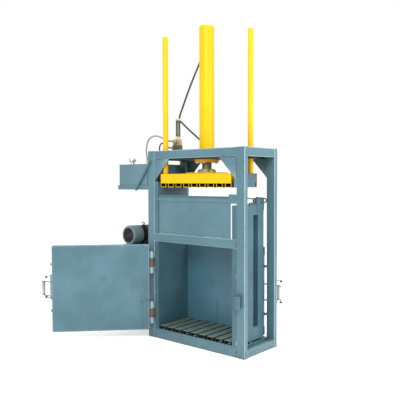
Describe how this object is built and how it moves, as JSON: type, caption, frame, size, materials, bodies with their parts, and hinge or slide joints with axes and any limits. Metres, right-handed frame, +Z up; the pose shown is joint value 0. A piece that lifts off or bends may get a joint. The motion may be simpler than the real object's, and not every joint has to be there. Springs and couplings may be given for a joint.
{
  "type": "recycling baler",
  "caption": "Upright hydraulic baler: rectangular tube frame, slatted chamber with front and back doors, platen on guide rods, cylinder and side power pack.",
  "frame": {"origin": "on the floor under the middle of the frame's footprint", "axes": "+X to the right when facing the open front door, +Y to the back, +Z up along the cylinder"},
  "size_m": [2.1464, 1.473, 3.297],
  "materials": {
    "frame_paint": "blue-green gloss enamel with light wear",
    "press_paint": "bright yellow gloss enamel",
    "flange_paint": "orange-yellow paint",
    "dark_plate": "dark mill plate",
    "rod_steel": "oiled hard chrome",
    "zinc_steel": "zinc plated",
    "bare_steel": "bare steel",
    "rusty_steel": "rusted bare steel",
    "valve_metal": "dark olive casting",
    "fitting_brass": "yellow zinc and brass",
    "breather_chrome": "chromed cap",
    "motor_black": "black paint on casting",
    "cowl_paint": "blue-grey paint",
    "cast_housing": "dark casting",
    "knob_plastic": "black ball knobs on steel bars",
    "hose_rubber": "black hydraulic hose",
    "return_hose_rubber": "grey hose"
  },
  "bodies": {
    "root": {"base_beams": "frame_paint", "column_back_left": "frame_paint", "column_back_right": "frame_paint", "column_front_left": "frame_paint", "column_front_right": "frame_paint", "corner_gussets": "frame_paint", "cylinder_barrel": "press_paint", "cylinder_cap": "press_paint", "cylinder_flange": "flange_paint", "cylinder_mount_plate": "dark_plate", "fan_cowl": "cowl_paint", "flange_bolts": "zinc_steel", "floor_slats": "frame_paint", "guide_sleeves": "bare_steel", "hinge_barrels": "rusty_steel", "hinge_pins": "bare_steel", "hose_fittings": "fitting_brass", "keepers": "frame_paint", "left_wall": "frame_paint", "left_wall_frame": "frame_paint", "lower_cylinder_hose": "hose_rubber", "mid_beam": "frame_paint", "motor_housing": "motor_black", "motor_shelf": "frame_paint", "oil_tank": "frame_paint", "pressure_hose": "hose_rubber", "pump": "cast_housing", "return_hose": "return_hose_rubber", "right_wall": "frame_paint", "right_wall_frame": "frame_paint", "strap_hooks": "bare_steel", "suction_pipe": "bare_steel", "tank_breather": "breather_chrome", "tank_platform": "frame_paint", "top_beams": "frame_paint", "top_deck_plate": "frame_paint", "upper_cylinder_hose": "hose_rubber", "upper_front_panel": "frame_paint", "valve_block": "valve_metal"},
    "front_door": {"front_door_fittings": "frame_paint", "front_door_ribs": "frame_paint", "front_door_skin": "frame_paint"},
    "front_latch": {"front_latch_handles": "knob_plastic", "front_latch_tube": "bare_steel", "front_latch_yoke": "frame_paint"},
    "back_door": {"back_door_fittings": "frame_paint", "back_door_ribs": "frame_paint", "back_door_skin": "frame_paint"},
    "back_latch": {"back_latch_handles": "knob_plastic", "back_latch_tube": "bare_steel", "back_latch_yoke": "frame_paint"},
    "platen": {"guide_rods": "press_paint", "piston_rod": "rod_steel", "platen_channels": "press_paint", "platen_cross_members": "press_paint", "platen_end_plates": "frame_paint", "platen_slats": "press_paint"},
    "motor_rotor": {"motor_rotor": "bare_steel"}
  },
  "joints": [
    {"name": "front_door_hinge", "type": "hinge", "parent": "root", "child": "front_door", "pos_m": [-0.566, -0.308, 0.55], "axis": [0, 0, 1], "range_deg": [0, 133.5]},
    {"name": "front_latch_swing", "type": "hinge", "parent": "front_door", "child": "front_latch", "pos_m": [-1.32212, -1.06557, 0.545], "axis": [0, 0, 1], "range_deg": [-45, 56]},
    {"name": "back_door_hinge", "type": "hinge", "parent": "root", "child": "back_door", "pos_m": [-0.566, 0.308, 0.55], "axis": [0, 0, 1], "range_deg": [0, 133.5]},
    {"name": "back_latch_swing", "type": "hinge", "parent": "back_door", "child": "back_latch", "pos_m": [0.504, 0.335, 0.545], "axis": [0, 0, 1], "range_deg": [-11, 90]},
    {"name": "platen_slide", "type": "slide", "parent": "root", "child": "platen", "axis": [0, 0, 1], "range_m": [-1.15, 0]},
    {"name": "motor_spin", "type": "hinge", "parent": "root", "child": "motor_rotor", "pos_m": [-0.968, 0, 1.087], "axis": [0, 1, 0], "continuous": true}
  ]
}
